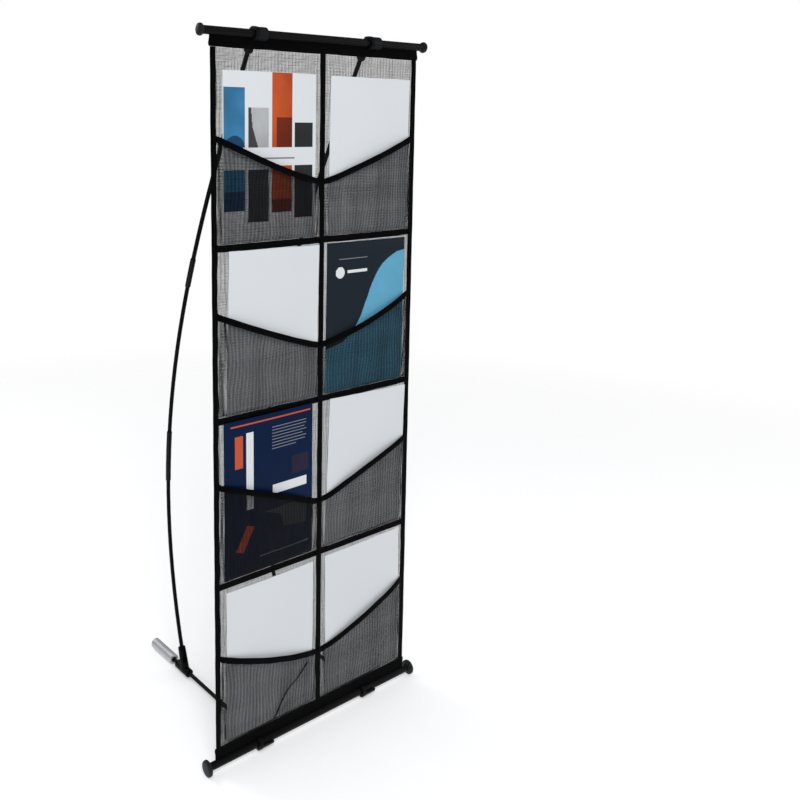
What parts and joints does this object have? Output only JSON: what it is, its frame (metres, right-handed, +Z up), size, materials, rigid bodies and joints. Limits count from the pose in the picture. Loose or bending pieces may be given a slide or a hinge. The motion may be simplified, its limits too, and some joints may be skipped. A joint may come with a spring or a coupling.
{
  "type": "brochure rack",
  "caption": "Free-standing portable brochure rack: black net panel of hanging pockets between two rails, propped by bowed rear poles on weighted floor legs.",
  "frame": {"origin": "centre of the footprint on the floor", "axes": "+Z up, +X to the right seen from the pocket side, +Y to the rear, where the legs run"},
  "size_m": [0.5496, 0.4508, 1.405],
  "materials": {
    "anodised_black": "satin black anodised, fine lengthwise grooves",
    "plastic_black": "moulded, fine grain",
    "nylon_black": "woven nylon tape, stitched",
    "net_black": "open polyester net, about half open",
    "pole_black": "smooth fibreglass",
    "bead_white": "extruded nylon rod",
    "steel": "turned, satin",
    "cord": "braided elastic cord"
  },
  "bodies": {
    "root": {"back_net": "net_black", "bottom_bead_rod": "bead_white", "bottom_collar_left": "plastic_black", "bottom_collar_right": "plastic_black", "bottom_hem": "nylon_black", "bottom_rail": "anodised_black", "centre_binding": "nylon_black", "foot_disc_left": "plastic_black", "foot_disc_right": "plastic_black", "pocket_1_left": "net_black", "pocket_1_right": "net_black", "pocket_2_left": "net_black", "pocket_2_right": "net_black", "pocket_3_left": "net_black", "pocket_3_right": "net_black", "pocket_4_left": "net_black", "pocket_4_right": "net_black", "rim_binding_1": "nylon_black", "rim_binding_2": "nylon_black", "rim_binding_3": "nylon_black", "rim_binding_4": "nylon_black", "row_binding_1": "nylon_black", "row_binding_2": "nylon_black", "row_binding_3": "nylon_black", "side_binding_left": "nylon_black", "side_binding_right": "nylon_black", "top_bead_rod": "bead_white", "top_cap_left": "plastic_black", "top_cap_right": "plastic_black", "top_collar_left": "plastic_black", "top_collar_right": "plastic_black", "top_hem": "nylon_black", "top_rail": "anodised_black"},
    "pole_left": {"pole_swivel_left": "plastic_black", "pole_upper_left": "pole_black", "pole_middle_left": "pole_black", "pole_lower_left": "pole_black", "ferrule_upper_left": "anodised_black", "ferrule_lower_left": "anodised_black", "shock_cord_left": "cord"},
    "leg_left": {"leg_swivel_left": "plastic_black", "leg_rod_left": "pole_black", "y_connector_left": "plastic_black"},
    "weight_left": {"counterweight_left": "steel"},
    "pole_right": {"pole_swivel_right": "plastic_black", "pole_upper_right": "pole_black", "pole_middle_right": "pole_black", "pole_lower_right": "pole_black", "ferrule_upper_right": "anodised_black", "ferrule_lower_right": "anodised_black", "shock_cord_right": "cord"},
    "leg_right": {"leg_swivel_right": "plastic_black", "leg_rod_right": "pole_black", "y_connector_right": "plastic_black"},
    "weight_right": {"counterweight_right": "steel"}
  },
  "joints": [
    {"name": "leg_left_fold", "type": "hinge", "parent": "root", "child": "leg_left", "pos_m": [-0.1385, -0.20885, 0.01537], "axis": [1, 0, 0], "range_deg": [-90, 0]},
    {"name": "pole_left_swing", "type": "hinge", "parent": "root", "child": "pole_left", "pos_m": [-0.1385, -0.20885, 1.3885], "axis": [1, 0, 0], "range_deg": [-11.8, 0]},
    {"name": "weight_left_turn", "type": "hinge", "parent": "leg_left", "child": "weight_left", "pos_m": [-0.1385, 0.18013, 0.01194], "axis": [0, 1, -0.0088], "continuous": true},
    {"name": "leg_right_fold", "type": "hinge", "parent": "root", "child": "leg_right", "pos_m": [0.1385, -0.20885, 0.01537], "axis": [1, 0, 0], "range_deg": [-90, 0]},
    {"name": "pole_right_swing", "type": "hinge", "parent": "root", "child": "pole_right", "pos_m": [0.1385, -0.20885, 1.3885], "axis": [1, 0, 0], "range_deg": [-11.8, 0]},
    {"name": "weight_right_turn", "type": "hinge", "parent": "leg_right", "child": "weight_right", "pos_m": [0.1385, 0.18013, 0.01194], "axis": [0, 1, -0.0088], "continuous": true}
  ],
  "couplings": [
    {"joint": "pole_left_swing", "follows": "leg_left_fold", "ratio": 0.13},
    {"joint": "pole_right_swing", "follows": "leg_right_fold", "ratio": 0.13}
  ]
}
